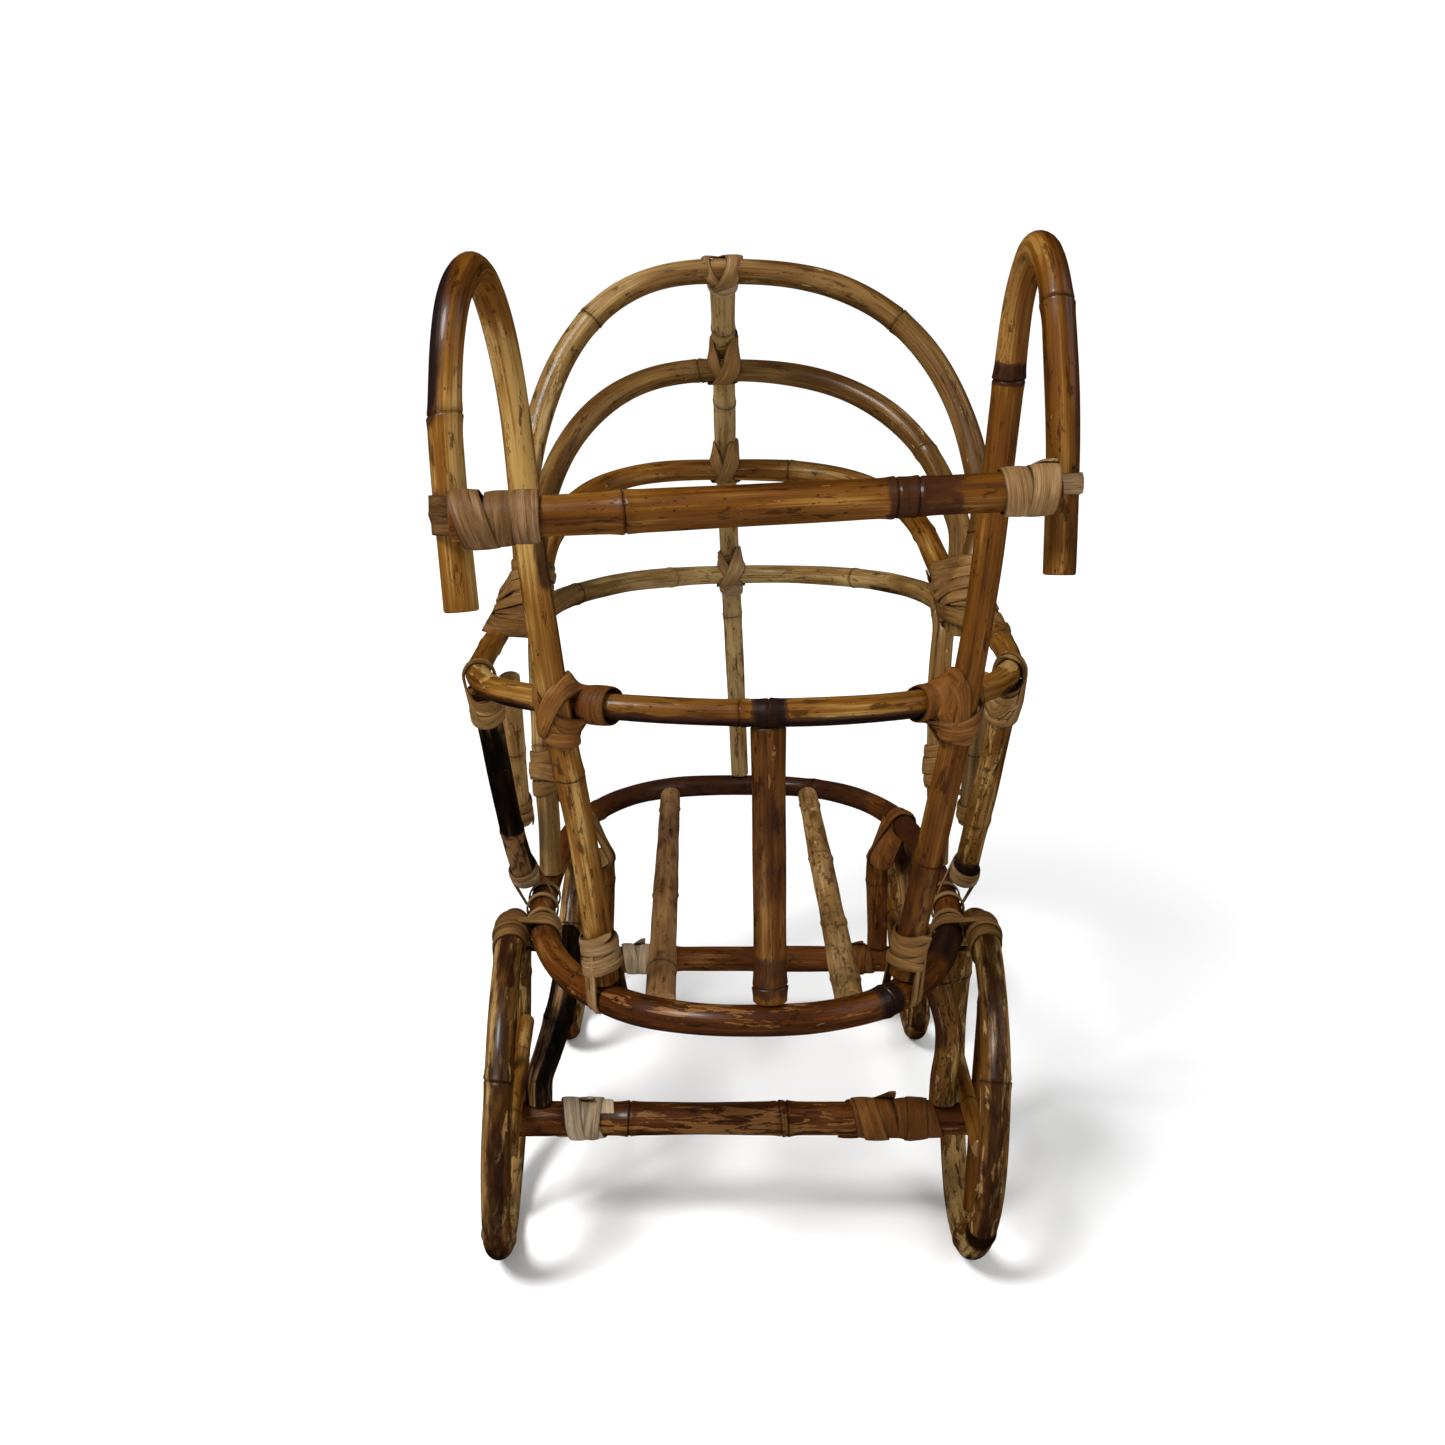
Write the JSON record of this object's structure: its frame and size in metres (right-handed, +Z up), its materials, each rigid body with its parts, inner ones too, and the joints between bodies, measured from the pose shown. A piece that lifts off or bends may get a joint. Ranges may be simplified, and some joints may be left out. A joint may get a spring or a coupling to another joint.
{
  "type": "doll stroller",
  "caption": "Doll stroller of bent rattan cane: slatted oval seat, fan-shaped open hood, cane wheels and two hooked handles joined by a grip bar.",
  "frame": {"origin": "on the floor, at the middle of the stroller's footprint", "axes": "+X to the right seen from the handle, +Y from the handle towards the hood, +Z up"},
  "size_m": [0.2462, 0.5102, 0.4632],
  "materials": {
    "golden_cane": "glossy varnish",
    "scorched_cane": "glossy varnish over scorch marks",
    "split_cane": "satin",
    "peel": "matt"
  },
  "bodies": {
    "root": {"arm_rail": "golden_cane", "arm_stay_left": "golden_cane", "arm_stay_right": "golden_cane", "axle_front": "split_cane", "axle_rear": "split_cane", "back_arch": "golden_cane", "base_ring": "scorched_cane", "brace_cuff_left": "peel", "brace_cuff_right": "peel", "brace_lashing_left": "peel", "brace_lashing_right": "peel", "crook_lashing_left": "peel", "crook_lashing_right": "peel", "grip_bar": "golden_cane", "grip_lashing_left": "peel", "grip_lashing_right": "peel", "handle_crook_left": "golden_cane", "handle_crook_right": "scorched_cane", "hood_arch_1": "golden_cane", "hood_arch_2": "golden_cane", "hood_arch_3": "golden_cane", "hood_lashing_left": "peel", "hood_lashing_right": "peel", "hood_spine": "golden_cane", "hub_lashing_front_left": "peel", "hub_lashing_front_right": "peel", "hub_lashing_rear_left": "peel", "hub_lashing_rear_right": "peel", "rail_lashing_left": "peel", "rail_lashing_right": "peel", "rim_lashing_left": "peel", "rim_lashing_right": "peel", "seat_slat_left": "split_cane", "seat_slat_right": "split_cane", "side_brace_left": "scorched_cane", "side_brace_right": "golden_cane", "spine_lashing_1": "peel", "spine_lashing_2": "peel", "spine_lashing_3": "peel", "spine_lashing_4": "peel", "strut_front_left": "scorched_cane", "strut_front_right": "scorched_cane", "strut_lashing_left": "peel", "strut_lashing_right": "peel", "strut_rear_left": "scorched_cane", "strut_rear_right": "golden_cane", "upright_slat": "split_cane", "wheel_rim_front_left": "golden_cane", "wheel_rim_front_right": "golden_cane", "wheel_rim_rear_left": "golden_cane", "wheel_rim_rear_right": "golden_cane", "wheel_spoke_level_front_left": "golden_cane", "wheel_spoke_level_front_right": "golden_cane", "wheel_spoke_level_rear_left": "golden_cane", "wheel_spoke_level_rear_right": "golden_cane", "wheel_spoke_upright_front_left": "golden_cane", "wheel_spoke_upright_front_right": "golden_cane", "wheel_spoke_upright_rear_left": "golden_cane", "wheel_spoke_upright_rear_right": "golden_cane"}
  },
  "joints": []
}
